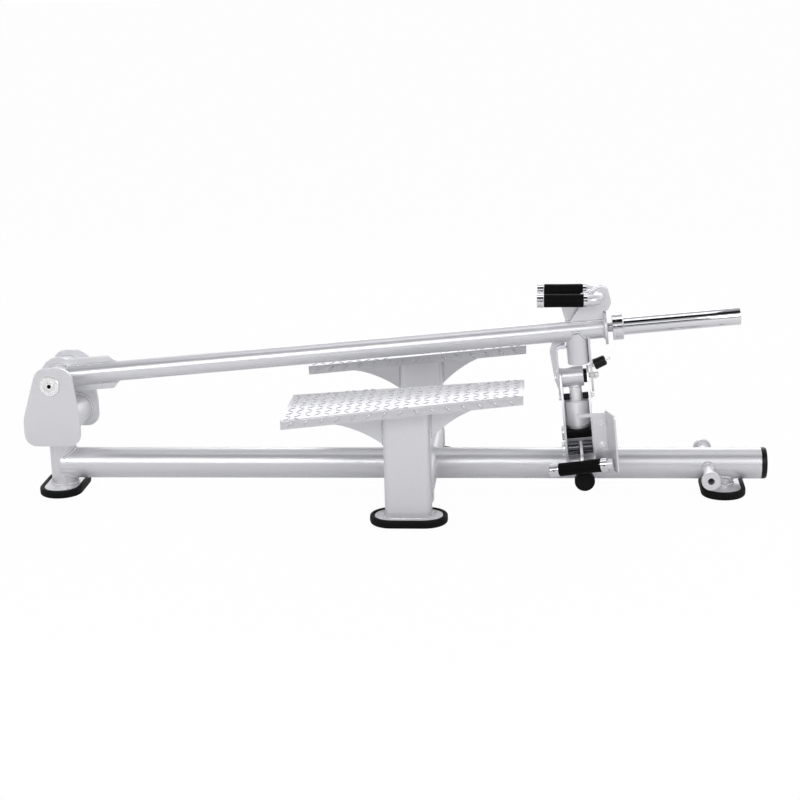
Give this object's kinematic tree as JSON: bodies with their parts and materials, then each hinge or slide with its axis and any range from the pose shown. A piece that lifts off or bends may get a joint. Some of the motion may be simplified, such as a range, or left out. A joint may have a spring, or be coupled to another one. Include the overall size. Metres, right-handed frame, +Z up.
{
  "type": "t-bar row machine",
  "caption": "Floor-standing t-bar row machine: low frame with two tread footplates, and a pivoted lever with a turning weight sleeve, close upper grips and a hinged carriage of lower grips.",
  "frame": {"origin": "on the floor, under the middle of the whole length and on the plane of symmetry", "axes": "+X from the rear pivot along the base towards the weight sleeve, +Y to the far side, +Z up"},
  "size_m": [2.107, 0.842, 0.5936],
  "materials": {
    "silver_coat": "silver grey metallic powder coat",
    "chrome": "bright plated",
    "zinc": "zinc plated",
    "steel": "ground",
    "black_rubber": "matte moulded",
    "black_plastic": "satin moulded",
    "bronze": "sintered bearing"
  },
  "bodies": {
    "frame": {"base_tube": "silver_coat", "base_end_cap": "black_plastic", "rear_post": "silver_coat", "rear_cross_tube": "silver_coat", "pivot_plate_near": "silver_coat", "pivot_plate_far": "silver_coat", "pivot_shaft": "zinc", "pivot_cap_far": "zinc", "rear_foot": "black_rubber", "front_foot": "black_rubber", "near_foot": "black_rubber", "far_foot": "black_rubber", "front_stub": "silver_coat", "band_peg": "silver_coat", "handle_rest_tube": "silver_coat", "handle_rest_cap": "black_rubber", "base_bumper": "black_rubber", "platform_near": "silver_coat", "platform_far": "silver_coat", "platform_post_near": "silver_coat", "platform_post_far": "silver_coat", "post_connector_near": "silver_coat", "post_connector_far": "silver_coat"},
    "lever": {"lever_hub": "silver_coat", "hub_bushing": "bronze", "lever_tube": "silver_coat", "lever_end_flange": "silver_coat", "sleeve_spindle": "steel", "upper_grip_bar": "silver_coat", "upper_grip_near": "black_rubber", "upper_grip_far": "black_rubber", "upper_end_collar_near": "chrome", "upper_end_collar_far": "chrome", "upper_bracket_near": "silver_coat", "upper_bracket_far": "silver_coat", "neck_tube": "silver_coat", "left_hanger": "silver_coat", "right_hanger": "silver_coat", "swing_bolt": "zinc", "plunger_barrel": "zinc"},
    "sleeve": {"weight_sleeve": "chrome", "sleeve_bush": "bronze"},
    "pin": {"pull_pin": "black_plastic"},
    "carriage": {"fork_plate_left": "silver_coat", "fork_plate_right": "silver_coat", "carriage_hub": "silver_coat", "carriage_housing": "silver_coat", "stop_pad": "black_rubber", "cross_bolt": "zinc", "arm_axle_near": "zinc", "arm_axle_far": "zinc"},
    "near_arm": {"near_arm_link": "black_plastic", "near_arm_plate": "silver_coat", "near_end_collar": "chrome", "near_lower_grip": "black_rubber"},
    "far_arm": {"far_arm_link": "black_plastic", "far_arm_plate": "silver_coat", "far_end_collar": "chrome", "far_lower_grip": "black_rubber"}
  },
  "joints": [
    {"name": "lever_pivot", "type": "hinge", "parent": "frame", "child": "lever", "pos_m": [-0.9691, 0, 0.3388], "axis": [0, -1, 0], "range_deg": [0, 40]},
    {"name": "sleeve_spin", "type": "hinge", "parent": "lever", "child": "sleeve", "pos_m": [0.61681, 0, 0.47557], "axis": [0.9963, 0, 0.0859], "continuous": true},
    {"name": "pin_pull", "type": "slide", "parent": "lever", "child": "pin", "axis": [0.9068, 0, 0.4215], "range_m": [0, 0.008], "stiffness_N_per_m": 300, "springref_m": -0.004},
    {"name": "carriage_swing", "type": "hinge", "parent": "lever", "child": "carriage", "pos_m": [0.51158, 0, 0.3335], "axis": [0.9963, 0, 0.0859], "range_deg": [-3, 3]},
    {"name": "near_arm_swing", "type": "hinge", "parent": "carriage", "child": "near_arm", "pos_m": [0.52761, -0.08, 0.14769], "axis": [-0.9963, 0, -0.0859], "range_deg": [0, 20]},
    {"name": "far_arm_swing", "type": "hinge", "parent": "carriage", "child": "far_arm", "pos_m": [0.52761, 0.08, 0.14769], "axis": [0.9963, 0, 0.0859], "range_deg": [0, 77]}
  ]
}
